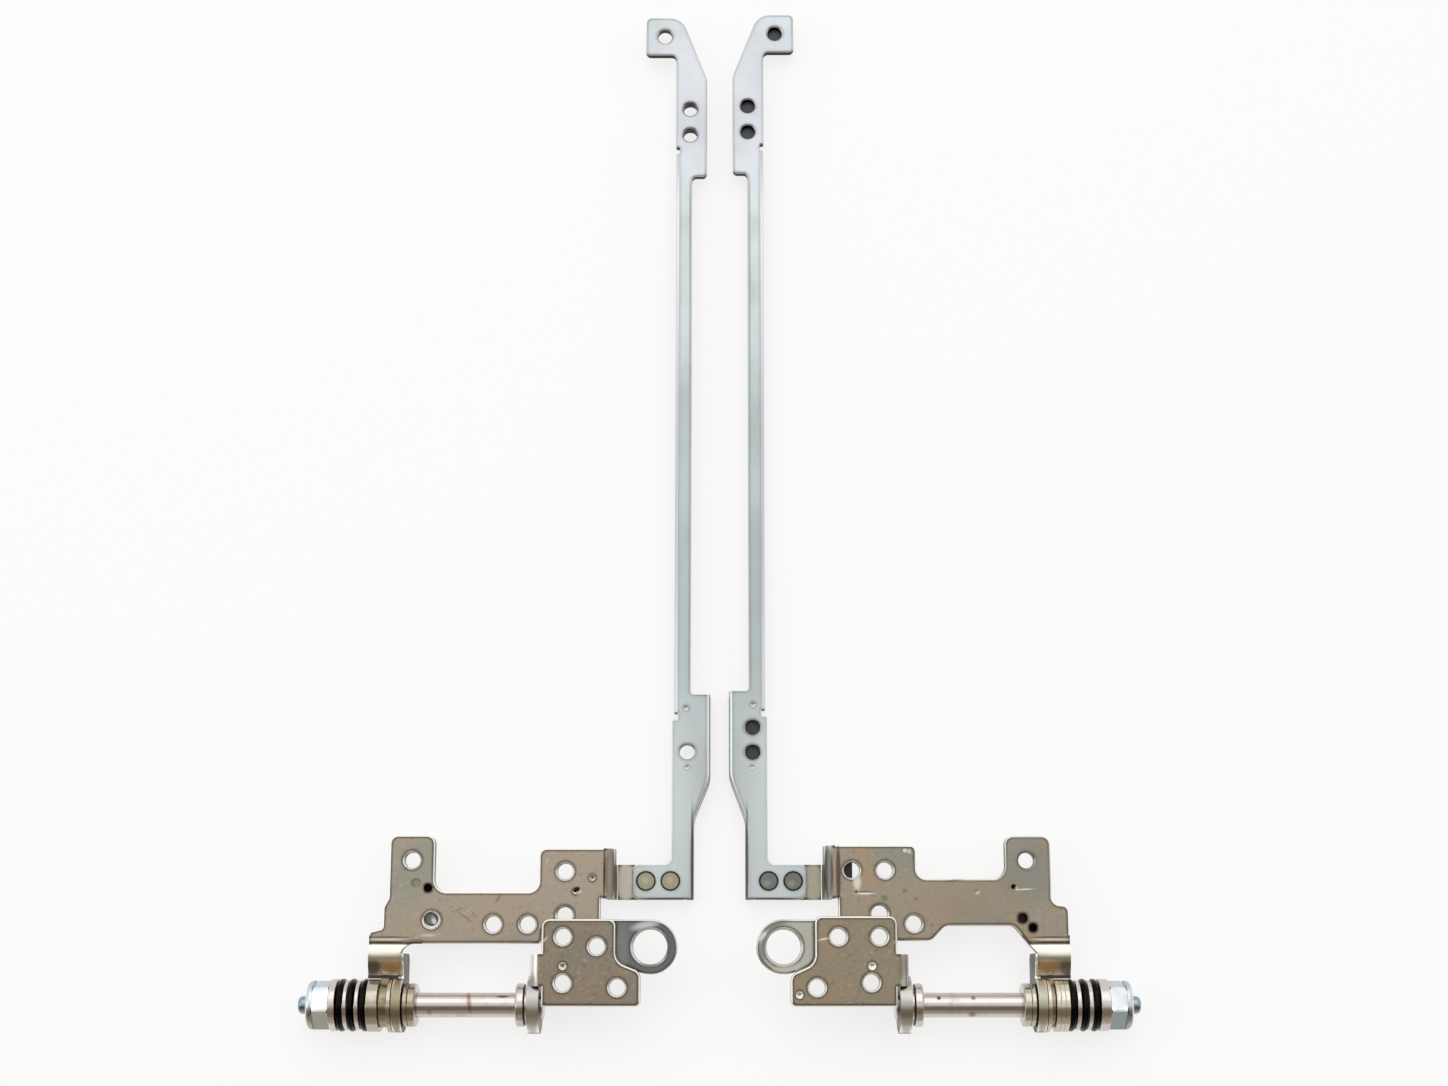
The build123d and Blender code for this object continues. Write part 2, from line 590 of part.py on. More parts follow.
def hinge(side):
    """All the pieces of one hinge, by name, drawn on the +X side."""
    pieces, nut_end = friction_stack(side)
    pieces["lid_bracket"] = [lid_bracket(side)]
    pieces["lid_strap"] = [strap(side)]
    pieces["strap_rivets"] = strap_rivets()
    pieces["base_bracket"] = [base_bracket(side)]
    pieces["hinge_shaft"] = [hinge_shaft(nut_end)]
    pieces["thrust_washer"] = [
        turned([(thrust_x, shaft_r, 0), (thrust_x, ring_r, washer_round),
                (thrust_x + thrust_w, ring_r, washer_round), (thrust_x + thrust_w, shaft_r, 0)])]
    return pieces


def main():
    """Write one STEP file for each piece of both hinges."""
    for side in (LEFT, RIGHT):
        for name, solids in hinge(side).items():
            if side is LEFT:
                solids = [mirror(s, about=Plane.YZ) for s in solids]
            placed = [Pos(0, y_shift, 0) * s for s in solids]
            shape = placed[0] if len(placed) == 1 else Compound(children=placed)
            export_step(shape, f"parts/{side['name']}_{name}.step")


main()
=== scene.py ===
# %% [markdown]
# # A pair of laptop hinges
# The two hinges lie flat on a pale table with the lid shut, and the camera looks down
# on them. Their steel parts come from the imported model, at their true size in metres.
# Here they get their finishes, their stains and marks, the table, the light and the
# camera.

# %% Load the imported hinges
import math
import bpy
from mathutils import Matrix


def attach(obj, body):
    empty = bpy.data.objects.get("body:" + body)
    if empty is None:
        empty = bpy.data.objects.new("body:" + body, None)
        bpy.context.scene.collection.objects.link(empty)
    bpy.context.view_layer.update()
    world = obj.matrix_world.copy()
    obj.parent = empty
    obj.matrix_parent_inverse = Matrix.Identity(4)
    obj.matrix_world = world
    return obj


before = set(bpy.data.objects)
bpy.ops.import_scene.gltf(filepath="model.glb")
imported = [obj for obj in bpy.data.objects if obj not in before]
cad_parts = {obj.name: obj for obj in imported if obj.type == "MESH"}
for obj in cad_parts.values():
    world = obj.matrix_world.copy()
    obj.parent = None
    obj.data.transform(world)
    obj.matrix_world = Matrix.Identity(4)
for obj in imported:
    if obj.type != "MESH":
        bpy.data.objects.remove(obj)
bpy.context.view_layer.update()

# %% [markdown]
# ## Colours, nodes and coats
# Paint charts and photo editors give colours as sRGB hex values, but a shader works with
# linear light, so one function turns the first into the second. A second function adds
# a shader node, sets what the step needs on it and links its inputs. The same nodes could
# be placed by hand in the shader editor, but here each finish reads as a list of steps.
# A third function lays a coat: it fades a paint in over a colour as the value of some
# pattern runs between two limits. Stains, dirt, rubbed rims and marks are all such coats.

# %% Colours, nodes and coats
MM = 0.001


def linear(hex_colour):
    """Linear RGBA of an sRGB hex value such as "8A8172"."""
    channels = [int(hex_colour[i:i + 2], 16) / 255 for i in (0, 2, 4)]
    return [c / 12.92 if c <= 0.04045 else ((c + 0.055) / 1.055) ** 2.4 for c in channels] + [1.0]


def add(tree, kind, inputs=None, **settings):
    """Add one node; an input is a value, or an output socket of another node to link."""
    node = tree.nodes.new(kind)
    for name, value in settings.items():
        setattr(node, name, value)
    for name, value in (inputs or {}).items():
        socket = node.inputs[name]
        if isinstance(value, bpy.types.NodeSocket):
            tree.links.new(value, socket)
        else:
            socket.default_value = value
    return node


def coat(tree, colour, paint, pattern, bare, full, strength=1.0):
    """Lay paint over a colour, softly, as a pattern's value runs from bare to full."""
    cover = add(tree, "ShaderNodeMapRange", {
        "Value": pattern, "From Min": bare, "From Max": full, "To Min": 0.0, "To Max": strength},
        interpolation_type="SMOOTHSTEP").outputs["Result"]
    return add(tree, "ShaderNodeMix", {0: cover, 6: colour, 7: paint}, data_type="RGBA").outputs[2]


print("light grey A0A0A0 is", [round(c, 3) for c in linear("A0A0A0")])

# %% [markdown]
# ## Painted edge shade, painted rim highlights and small marks
# The upright faces of each edge and hole are painted dark, as painted shade. They stand
# upright, so the height of the surface normal tells them from the top. Rounded rims get a
# painted highlight, with a thin line of painted shade beside them.
# The Bevel node tells how near an edge is, because there its normal leans away from the
# true one, and on a rounded rim the true normal itself leans. Both could be painted on an
# unwrapped image, but a rule taken from the shape follows each edge and hole by itself.
# Pits, punch marks and scratches sit at known places, so each is an ellipse in plan, given
# in millimetres from the middle between the hinges and from the shafts. Painted highlights,
# painted shade and painted reflections are laid as such ellipses too.

# %% Painted edge shade, rim highlights and marks
AXIS_Y = -85.3           # the shafts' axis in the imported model, in millimetres
RIM_SHADE_REACH = 0.8         # how far from an edge the Bevel node looks, in millimetres
MARK_BLUR = 0.12         # soft border of a mark that names none, in millimetres


def flatness(tree, place):
    """1 where a face lies flat, above or below, and 0 where it stands upright."""
    normal = place.node.outputs["Normal"]
    height = add(tree, "ShaderNodeSeparateXYZ", {"Vector": normal}).outputs["Z"]
    return add(tree, "ShaderNodeMath", {0: height}, operation="ABSOLUTE").outputs[0]


def shade_upright_faces(tree, place, colour, dark):
    """Start from painted shade on upright faces and lay the colour over all that lies flatter."""
    return coat(tree, linear(dark), colour, flatness(tree, place), 0.1, 0.4)


def rim_highlight_and_shade(tree, place, colour, bright, rim_shade, strength):
    """Paint a highlight on rounded rims and a thin line of painted shade inside them."""
    reach = {"Radius": RIM_SHADE_REACH * MM}
    rounded = add(tree, "ShaderNodeBevel", reach, samples=8).outputs["Normal"]
    true = add(tree, "ShaderNodeNewGeometry").outputs["Normal"]
    alike = add(tree, "ShaderNodeVectorMath", {0: rounded, 1: true}, operation="DOT_PRODUCT")
    colour = coat(tree, colour, linear(rim_shade), alike.outputs["Value"], 0.9995, 0.99, strength)
    shine = min(strength * 1.3, 1.0)
    return coat(tree, colour, linear(bright), flatness(tree, place), 0.98, 0.88, shine)


def marked(tree, place, colour, marks):
    """Paint ellipses: x, y, half length, half width, turn, paint, strength, maybe blur."""
    for x, y, half_x, half_y, turn, paint, strength, *blur in marks:
        soft = min((blur[0] if blur else MARK_BLUR) / min(half_x, half_y), 0.95)
        middle = (x * MM, (y + AXIS_Y) * MM, 0)
        centred = add(tree, "ShaderNodeVectorMath", {0: place, 1: middle}, operation="SUBTRACT")
        turned = add(tree, "ShaderNodeMapping", {
            "Vector": centred.outputs[0], "Rotation": (0, 0, math.radians(-turn))})
        stretch = (1 / (half_x * MM), 1 / (half_y * MM), 0)
        scaled = add(tree, "ShaderNodeVectorMath", {
            0: turned.outputs["Vector"], 1: stretch}, operation="MULTIPLY")
        away = add(tree, "ShaderNodeVectorMath", {0: scaled.outputs[0]}, operation="LENGTH")
        colour = coat(
            tree, colour, linear(paint), away.outputs["Value"], 1 + soft, 1 - soft, strength)
    return colour


print("the shafts lie at y", AXIS_Y * MM)

# %% [markdown]
# ## Nickel-plated steel, stamped
# The brackets are stamped from steel strip 1.5 mm thick and thinly plated with nickel.
# Plating leaves a satin metal, warm grey, with cloudy brown and bluish patches some
# millimetres wide, fine pits, and small dents from the tumbling drum. A scanned picture of
# plated steel could be laid on, but it would repeat and stretch at the bends. Instead two
# noises of different size give the clouds, a third the pits and a fourth the dents. All
# read Object coordinates in metres, so a scale is one over the size of the pattern. Real
# pits are finer than the camera shows, so theirs is drawn coarser, 0.7 mm.

# %% Stained plated steel
CLOUD, PATCH, PIT, DENT = 7, 18, 0.7, 2.2       # sizes of the patterns, in millimetres
# painted shade on upright faces and beside rounded rims
EDGE_SHADE = "3E372C"


def plated_steel(name, base, warm, cool, roughness, marks=(), seed=0.0, rims=0.8):
    """Satin plated steel with cloudy stains, pits, marks, painted highlights and painted shade."""
    material = bpy.data.materials.new(name)
    material.use_nodes = True
    tree = material.node_tree
    shader = tree.nodes["Principled BSDF"]
    shader.inputs["Metallic"].default_value = 1.0
    place = add(tree, "ShaderNodeTexCoord").outputs["Object"]
    moved = add(tree, "ShaderNodeMapping", {
        "Vector": place, "Location": (seed, seed * 0.7, 0)}).outputs["Vector"]
    clouds = add(tree, "ShaderNodeTexNoise", {
        "Vector": moved, "Scale": 1 / (CLOUD * MM),
        "Detail": 4.0, "Roughness": 0.62}).outputs["Fac"]
    patches = add(tree, "ShaderNodeTexNoise", {
        "Vector": moved, "Scale": 1 / (PATCH * MM), "Detail": 2.0, "Roughness": 0.5}).outputs["Fac"]
    grain = add(tree, "ShaderNodeTexNoise", {
        "Vector": moved, "Scale": 1 / (PIT * MM), "Detail": 3.0, "Roughness": 0.7}).outputs["Fac"]
    colour = coat(tree, linear(base), linear(warm), clouds, 0.42, 0.62)
    colour = coat(tree, colour, linear(cool), patches, 0.48, 0.62)
    colour = coat(tree, colour, linear("4A4236"), grain, 0.58, 0.74, 0.6)
    colour = coat(tree, colour, linear("D6CDBC"), grain, 0.42, 0.28, 0.35)
    colour = rim_highlight_and_shade(tree, place, colour, "FFFDF6", EDGE_SHADE, rims)
    colour = marked(tree, place, colour, marks)
    tree.links.new(shade_upright_faces(tree, place, colour, EDGE_SHADE), shader.inputs["Base Color"])
    rough = add(tree, "ShaderNodeMapRange", {
        "Value": clouds, "From Min": 0.3, "From Max": 0.7,
        "To Min": roughness - 0.06, "To Max": roughness + 0.08}, interpolation_type="SMOOTHSTEP")
    tree.links.new(rough.outputs["Result"], shader.inputs["Roughness"])
    dents = add(tree, "ShaderNodeTexNoise", {
        "Vector": moved, "Scale": 1 / (DENT * MM), "Detail": 3.0, "Roughness": 0.6}).outputs["Fac"]
    bump = add(tree, "ShaderNodeBump", {"Height": dents, "Strength": 0.2, "Distance": 0.12 * MM})
    fine = add(tree, "ShaderNodeBump", {
        "Height": grain, "Strength": 0.3, "Distance": 0.02 * MM, "Normal": bump.outputs["Normal"]})
    tree.links.new(fine.outputs["Normal"], shader.inputs["Normal"])
    return material


def dress(node, material):
    """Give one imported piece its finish."""
    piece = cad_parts[node]
    piece.data.materials.clear()
    piece.data.materials.append(material)


print("plated steel has clouds of", CLOUD, "mm and pits of", PIT, "mm")

# %% [markdown]
# ## The lid brackets and their marks
# The left plate has a round pilot hole beside its arm, a faint ring stamped above it, and
# a half-moon pit near the bend. The right one has two pilot holes over its corner, a pit
# with a scratch, a short slot stamped near the bend, and bright rubbed places. The pilot
# holes and the round pits are cut in the imported solids already, and paint only darkens
# them, as painted shade, with a painted highlight on the lit side of each pit. The ring,
# the slot and the scratches could be cut too, but they are so shallow that paint at their
# places shows them as well. The tabs, the creases above them, the tongues and the bends
# beside the tongues carry painted highlights, painted shade and a painted reflection.

# %% Lid brackets
left_lid_marks_and_light = [
    # The second mark paints the tongue lighter, as a painted highlight.
    (-52.15, 0, 0.85, 5.0, 0, "A0947C", 1.0, 0.15), (-15.6, 20.1, 1.4, 3.2, 0, "C4BDB0", 0.9, 0.3),
    # A painted highlight across the curved tab, a shaded band below it, a painted reflection in
    # warm brown, and painted shade at the tab's end.
    (-55.8, 8.7, 6.5, 0.85, 0, "DEDACE", 0.95, 0.45),
    (-55.8, 7.35, 6.0, 0.5, 0, "B0A688", 0.9, 0.2), (-53.3, 6.1, 1.7, 1.0, 0, "CFA873", 0.9, 0.4),
    (-56.3, 6.0, 1.2, 1.2, 0, "5C5548", 0.8, 0.5),
    # Dark, bright and dark lines of painted shade and painted highlight along the crease above the
    # tab; then the pilot hole, painted near black as shade.
    (-54.3, 10.05, 3.4, 0.13, 0, "2E271E", 0.8, 0.08),
    (-54.3, 10.5, 3.4, 0.16, 0, "FFFBF0", 0.9, 0.08),
    (-54.3, 10.9, 3.4, 0.13, 0, "2E271E", 0.7, 0.08), (-47.75, 18.9, 0.72, 0.72, 0, "120E0A", 1.0),
    (-49.75, 19.75, 0.85, 0.75, 0, "6E6456", 0.7), (-49.6, 19.6, 0.55, 0.5, 0, "9C9080", 0.9),
    # The half-moon pit painted dark inside, as shade, with a painted highlight on its lit side.
    (-23.45, 18.6, 0.62, 0.4, 30, "17120D", 0.95), (-23.05, 18.15, 0.5, 0.22, 30, "E6DDCB", 0.8),
    # The pit painted darker, as shade, then painted shade along the bend beside the tongue.
    (-20.91, 20.6, 0.5, 0.45, 0, "5A5044", 0.5), (-17.95, 21.2, 0.8, 5.0, 0, "7A7062", 0.85, 0.2),
    (-18.9, 21.2, 0.17, 4.6, 0, "2A1D16", 0.9), (-41.6, 14.2, 1.3, 0.12, -35, "6A5E50", 0.6),
    (-41.2, 15.1, 0.8, 0.12, 40, "C9BEAC", 0.5), (-40.2, 14.6, 0.5, 0.1, -60, "5E5448", 0.6),
    (-42.6, 15.4, 0.6, 0.1, 20, "6A5E50", 0.5), (-47.6, 11.2, 1.2, 0.25, 0, "E2D8D2", 0.5),
    (-36.2, 17.2, 0.8, 0.2, 60, "6A5E50", 0.5), (-28.3, 23.3, 0.5, 0.1, 70, "D8D0C0", 0.5),
    (-51.5, 22.0, 0.35, 0.3, 0, "6E5E50", 0.4)]
right_lid_marks_and_light = [
    (52.15, 0, 0.85, 5.0, 0, "B5B09E", 1.0, 0.15), (50.7, 22.0, 4.6, 5.4, 0, "8E8E84", 0.75, 2.2),
    # The second mark paints the tongue lighter, as a painted highlight.
    (39.5, 17.2, 9.0, 3.6, 0, "A6927E", 0.6, 2.5), (15.6, 20.1, 1.4, 3.2, 0, "B4AE9C", 0.9, 0.3),
    # Painted shade along the bend beside the tongue.
    (17.9, 21.2, 0.75, 5.0, 0, "3E382F", 0.85, 0.2), (19.5, 21.2, 0.38, 4.6, 0, "4A4036", 0.8),
    # A painted highlight across the curved tab, a shaded band below it, a painted reflection in
    # warm brown, and painted shade at the tab's end.
    (55.9, 8.7, 6.5, 0.9, 0, "E2E0D6", 0.95, 0.45), (55.9, 7.3, 6.0, 0.5, 0, "A8A792", 0.9, 0.2),
    (53.6, 6.1, 1.9, 1.1, 0, "DDB480", 0.9, 0.4), (56.5, 6.0, 1.1, 1.3, 0, "7A6A52", 0.7, 0.5),
    # Dark, bright and dark lines of painted shade and painted highlight along the crease above the
    # tab; then a pilot hole, painted near black as shade.
    (54.4, 10.05, 3.4, 0.13, 0, "2E271E", 0.8, 0.08),
    (54.4, 10.5, 3.4, 0.16, 0, "FFFBF0", 0.9, 0.08),
    (54.4, 10.9, 3.4, 0.13, 0, "2E271E", 0.7, 0.08), (49.55, 14.0, 0.82, 0.82, 0, "2A241C", 1.0),
    # The second pilot hole painted near black, as painted shade.
    (51.2, 12.45, 0.72, 0.72, 0, "0E0B08", 1.0), (22.55, 20.0, 0.6, 1.5, 0, "F2EADC", 0.75, 0.35),
    (23.8, 17.95, 1.35, 0.14, 0, "F4EEE4", 0.9), (22.4, 18.25, 0.22, 0.3, 0, "4A4034", 0.8),
    (23.6, 18.3, 1.3, 0.1, 0, "57503F", 0.7), (27.0, 17.24, 0.55, 0.5, 0, "6E6456", 0.5),
    (30.5, 25.0, 0.35, 0.3, 0, "F2EADC", 0.8), (31.2, 24.85, 0.3, 0.35, 0, "E8E0D0", 0.7),
    # A pit painted dark inside, as shade, with a painted highlight on its lit side.
    (48.2, 19.1, 0.42, 0.38, 0, "120D0A", 1.0), (48.7, 18.8, 0.2, 0.35, 20, "E0D6C4", 0.7),
    (49.95, 18.65, 1.15, 0.1, 3, "F4EEE4", 0.9), (42.3, 18.1, 0.38, 0.3, 40, "E0D0BC", 0.6),
    (42.1, 18.5, 0.3, 0.2, 0, "6A5044", 0.5), (38.4, 20.1, 1.2, 0.12, 5, "3E302A", 0.6),
    (30.4, 18.4, 0.45, 0.35, 0, "5E4C40", 0.4), (32.2, 17.1, 0.3, 0.25, 0, "5E4C40", 0.4)]
lid_steel = {
    "left": plated_steel(
        "nickel_plated_steel_left_lid", "ADA191", "B3A390", "A19D8F", 0.36, left_lid_marks_and_light),
    "right": plated_steel(
        "nickel_plated_steel_right_lid", "A29888", "AE9982", "989688", 0.36, right_lid_marks_and_light, 0.31)}
for side in ("left", "right"):
    dress(f"{side}_lid_bracket", lid_steel[side])
print(len(left_lid_marks_and_light) + len(right_lid_marks_and_light), "marks on the lid brackets")

# %% [markdown]
# ## The base brackets
# They are browner than the lid brackets. The ring ears, stepped down from the plates, are
# rubbed to bare steel and look neutral grey. Each could be a second material on faces
# picked by hand, but that leaves a hard border, so the bare steel is blended in by place:
# below the plate's height and inwards of the step.

# %% Base brackets
EAR_TOP = 8.2            # an ear lies wholly below this height, in millimetres
FADE = 0.3               # over which the two steels blend, in millimetres


def base_steel(name, base, warm, cool, marks, ear, ear_x, ear_light_and_shade, seed):
    """The plated steel of a base bracket, with its ear rubbed bare inwards of ear_x."""
    material = plated_steel(name, base, warm, cool, 0.36, marks, seed)
    tree = material.node_tree
    shader = tree.nodes["Principled BSDF"]
    painted = shader.inputs["Base Color"].links[0].from_socket
    place = add(tree, "ShaderNodeTexCoord").outputs["Object"]
    axes = add(tree, "ShaderNodeSeparateXYZ", {"Vector": place}).outputs
    across = add(tree, "ShaderNodeMath", {0: axes["X"]}, operation="ABSOLUTE").outputs[0]
    inwards = add(tree, "ShaderNodeMapRange", {
        "Value": across, "From Min": (ear_x + FADE) * MM, "From Max": (ear_x - FADE) * MM},
        interpolation_type="SMOOTHSTEP").outputs["Result"]
    below = add(tree, "ShaderNodeMapRange", {
        "Value": axes["Z"], "From Min": (EAR_TOP + FADE) * MM, "From Max": EAR_TOP * MM},
        interpolation_type="SMOOTHSTEP").outputs["Result"]
    bare = add(tree, "ShaderNodeMath", {0: inwards, 1: below}, operation="MULTIPLY").outputs[0]
    # the bare ear also gets painted rim highlights, painted shade and its painted light marks
    bare_ear_and_light = rim_highlight_and_shade(tree, place, linear(ear), "F4F4F2", "3A3A38", 0.8)
    bare_ear_and_light = shade_upright_faces(tree, place, marked(tree, place, bare_ear_and_light, ear_light_and_shade), "4A4844")
    both = add(tree, "ShaderNodeMix", {0: bare, 6: painted, 7: bare_ear_and_light}, data_type="RGBA")
    tree.links.new(both.outputs[2], shader.inputs["Base Color"])
    return material


left_base_marks = [
    (-30.2, 0.0, 1.25, 4.9, 0, "BAB6B0", 1.0, 0.25), (-28.2, 10.4, 0.55, 0.12, 50, "F0E8DA", 0.8),
    (-25.3, 6.2, 0.5, 0.45, 0, "857C6C", 0.4), (-13.8, 2.9, 0.4, 0.5, 0, "9C9486", 0.4),
    (-20.5, 3.8, 0.5, 0.3, 30, "A89C8A", 0.4)]
right_base_marks_and_shade = [
    # The first mark paints the flange's bend darker, as painted shade.
    (30.1, 5.9, 1.3, 2.4, 0, "8A7F6E", 0.85, 0.25), (30.2, 0.0, 1.25, 4.9, 0, "B6B3AA", 1.0, 0.25),
    (16.9, 10.5, 0.85, 0.13, 12, "F2EADC", 0.9), (24.65, 6.25, 0.3, 0.35, 0, "F2EADC", 0.7),
    (12.9, 1.6, 0.35, 0.35, 0, "D8CEBE", 0.6), (28.4, 10.0, 0.3, 0.25, 0, "C8BCA8", 0.5)]
left_ear_light_and_shade = [
    # Painted highlights and painted shade on the ring round the hole.
    (-7.9, 8.4, 1.0, 3.4, 10, "6C7074", 0.8, 0.7), (-10.6, 5.7, 3.0, 0.9, -8, "74736F", 0.75, 0.5),
    (-12.0, 12.75, 2.0, 0.6, 12, "DADADA", 0.8, 0.4), (-15.9, 8.5, 1.0, 4.0, 0, "8E8D88", 0.6, 0.6)]
right_ear_light_and_shade = [
    # Painted highlights and painted shade on the ring round the hole.
    (6.95, 10.9, 0.9, 0.35, 55, "F6F6F4", 0.9, 0.2), (6.7, 8.0, 0.7, 2.6, -8, "85847C", 0.7, 0.5),
    (9.2, 12.9, 1.8, 0.6, 22, "6F706C", 0.6, 0.5), (10.6, 5.6, 2.6, 0.8, 10, "D4D0C4", 0.5, 0.4)]
dress("left_base_bracket", base_steel(
    "nickel_plated_steel_left_base", "938879", "9B8C79", "898574", left_base_marks,
    "767778", 16.9, left_ear_light_and_shade, 0.13))
dress("right_base_bracket", base_steel(
    "nickel_plated_steel_right_base", "988D7A", "A3927B", "8B8774", right_base_marks_and_shade,
    "BDBAAE", 15.6, right_ear_light_and_shade, 0.47))
print("base brackets dressed, their ears bare below", EAR_TOP, "mm")

# %% [markdown]
# ## Zinc-plated steel, rolled
# The straps are plated with zinc and passivated blue, which makes them paler and cooler
# than the brackets. Rolling leaves a grain along the strip. The shader's own anisotropy
# could stretch the highlights, but it shows no lines, so a noise is squeezed across the
# strap and drawn out along it. Real rolling lines are finer than the camera shows, and
# these are drawn 0.8 mm wide. The rivets that hold each strap are plain steel, with dirt
# packed round their heads.

# %% Straps and rivets
ROLLED = 0.8             # width of the rolled grain, in millimetres


def zinc_steel(name, light, dark, roughness, marks):
    """Blue passivated zinc with a rolled grain along Y, painted highlights and painted shade."""
    material = bpy.data.materials.new(name)
    material.use_nodes = True
    tree = material.node_tree
    shader = tree.nodes["Principled BSDF"]
    shader.inputs["Metallic"].default_value = 1.0
    place = add(tree, "ShaderNodeTexCoord").outputs["Object"]
    drawn = add(tree, "ShaderNodeMapping", {
        "Vector": place, "Scale": (1.0, 0.12, 1.0)}).outputs["Vector"]
    grain = add(tree, "ShaderNodeTexNoise", {
        "Vector": drawn, "Scale": 1 / (ROLLED * MM),
        "Detail": 4.0, "Roughness": 0.65}).outputs["Fac"]
    clouds = add(tree, "ShaderNodeTexNoise", {
        "Vector": place, "Scale": 1 / (14 * MM), "Detail": 3.0, "Roughness": 0.55}).outputs["Fac"]
    colour = coat(tree, linear(light), linear(dark), clouds, 0.4, 0.65)
    colour = coat(tree, colour, linear("8A9496"), grain, 0.55, 0.8, 0.3)
    colour = rim_highlight_and_shade(tree, place, colour, "F6F8F8", "5E6462", 0.75)
    colour = marked(tree, place, colour, marks)
    tree.links.new(shade_upright_faces(tree, place, colour, "232524"), shader.inputs["Base Color"])
    rough = add(tree, "ShaderNodeMapRange", {
        "Value": clouds, "From Min": 0.3, "From Max": 0.7,
        "To Min": roughness - 0.05, "To Max": roughness + 0.06}, interpolation_type="SMOOTHSTEP")
    tree.links.new(rough.outputs["Result"], shader.inputs["Roughness"])
    bump = add(tree, "ShaderNodeBump", {"Height": grain, "Strength": 0.2, "Distance": 0.03 * MM})
    tree.links.new(bump.outputs["Normal"], shader.inputs["Normal"])
    return material


rivet_places = [(sign * x, 20.2) for sign in (-1, 1) for x in (12.2, 8.15)]
strap_dirt_and_light = [(x, y, 1.68, 1.68, 0, "2C2E2A", 0.95) for x, y in rivet_places]
for sign in (-1, 1):
    strap_dirt_and_light += [
        # Painted reflection: the strap lighter at the foot and the far end and darker midway.
        (sign * 9.5, 32, 6.0, 20.0, 0, "D8E0DF", 0.7, 4.0),
        (sign * 6.5, 85, 5.0, 32.0, 0, "A2ABAD", 0.55, 4.0),
        (sign * 6.5, 160, 9.0, 16.0, 0, "BBBBC1", 0.7, 4.0),
        # Dark lines of painted shade along the turned-down outer edge and the foot's lower edge.
        (sign * 4.55, 22.5, 0.28, 9.5, 0, "2A2D2C", 0.85, 0.1),
        (sign * 8.6, 17.2, 4.6, 0.26, 0, "2A2D2C", 0.8, 0.1)]
strap_zinc = zinc_steel("zinc_plated_steel_rolled", "BAC2C3", "B2BAB9", 0.38, strap_dirt_and_light)
for side in ("left", "right"):
    dress(f"{side}_lid_strap", strap_zinc)
left_heads_and_highlights = [(x, y, 1.36, 1.36, 0, "A8A18A", 1.0) for x, y in rivet_places]
# a painted highlight on each head
left_heads_and_highlights += [(x - 0.1, y + 0.1, 0.55, 0.55, 0, "C4BC98", 0.6, 0.3) for x, y in rivet_places]
right_heads_and_highlights = [(x, y, 1.36, 1.36, 0, "7C7E77", 1.0) for x, y in rivet_places]
# a painted highlight on each head
right_heads_and_highlights += [(x - 0.3, y - 0.4, 0.6, 0.5, 0, "A0A29A", 0.6, 0.3) for x, y in rivet_places]
dress("left_strap_rivets", plated_steel(
    "plain_steel_left_rivets", "26261F", "26261F", "26261F", 0.42, left_heads_and_highlights, 0.9, 0.0))
dress("right_strap_rivets", plated_steel(
    "plain_steel_right_rivets", "22231F", "22231F", "22231F", 0.42, right_heads_and_highlights, 1.3, 0.0))
print("straps and rivets dressed, with", len(strap_dirt_and_light), "marks on the straps")

# %% [markdown]
# ## Turned steel on the shafts
# The shafts are turned and polished, so they are smoother than the plates, with brown
# stains of old oil. Rings of fine tool marks run round them. They could be cut as grooves,
# but they are far shallower than that is worth, so a wave along X, the direction of the
# shaft, tilts the light instead. Real ones are about 0.1 mm apart and too fine to show, so
# they are drawn coarser. The threaded end past the nut is blue zinc, blended in by its
# distance along the shaft.

# %% Turned steel
TOOL_RINGS = 0.6905      # distance between the rings of tool marks, in millimetres
ZINC_FROM, ZINC_FULL = 60, 62    # distances along X where the zinc end fades in


def turned_steel(name, base, stain, roughness, stains=0.5, end=None, marks=(), seed=0.0):
    """Metal turned on a lathe about X, with fine rings, stains and another end colour."""
    material = bpy.data.materials.new(name)
    material.use_nodes = True
    tree = material.node_tree
    shader = tree.nodes["Principled BSDF"]
    shader.inputs["Metallic"].default_value = 1.0
    place = add(tree, "ShaderNodeTexCoord").outputs["Object"]
    moved = add(tree, "ShaderNodeMapping", {
        "Vector": place, "Location": (seed, 0, seed)}).outputs["Vector"]
    # The bands of a wave repeat each tau / 20, divided by its scale.
    rings = add(tree, "ShaderNodeTexWave", {
        "Vector": moved, "Scale": math.tau / 20 / (TOOL_RINGS * MM),
        "Distortion": 0.6, "Detail": 2.0}, wave_type="BANDS", bands_direction="X").outputs["Fac"]
    blots = add(tree, "ShaderNodeTexNoise", {
        "Vector": moved, "Scale": 1 / (2.6 * MM), "Detail": 4.0, "Roughness": 0.7}).outputs["Fac"]
    colour = coat(tree, linear(base), linear(stain), blots, 0.52, 0.72, stains)
    colour = marked(tree, place, colour, marks)
    if end:
        along = add(tree, "ShaderNodeSeparateXYZ", {"Vector": place}).outputs["X"]
        far = add(tree, "ShaderNodeMath", {0: along}, operation="ABSOLUTE").outputs[0]
        colour = coat(tree, colour, linear(end), far, ZINC_FROM * MM, ZINC_FULL * MM)
    tree.links.new(colour, shader.inputs["Base Color"])
    rough = add(tree, "ShaderNodeMapRange", {
        "Value": blots, "From Min": 0.3, "From Max": 0.75,
        "To Min": roughness - 0.04, "To Max": roughness + 0.1}, interpolation_type="SMOOTHSTEP")
    tree.links.new(rough.outputs["Result"], shader.inputs["Roughness"])
    bump = add(tree, "ShaderNodeBump", {"Height": rings, "Strength": 0.08, "Distance": 0.01 * MM})
    tree.links.new(bump.outputs["Normal"], shader.inputs["Normal"])
    return material


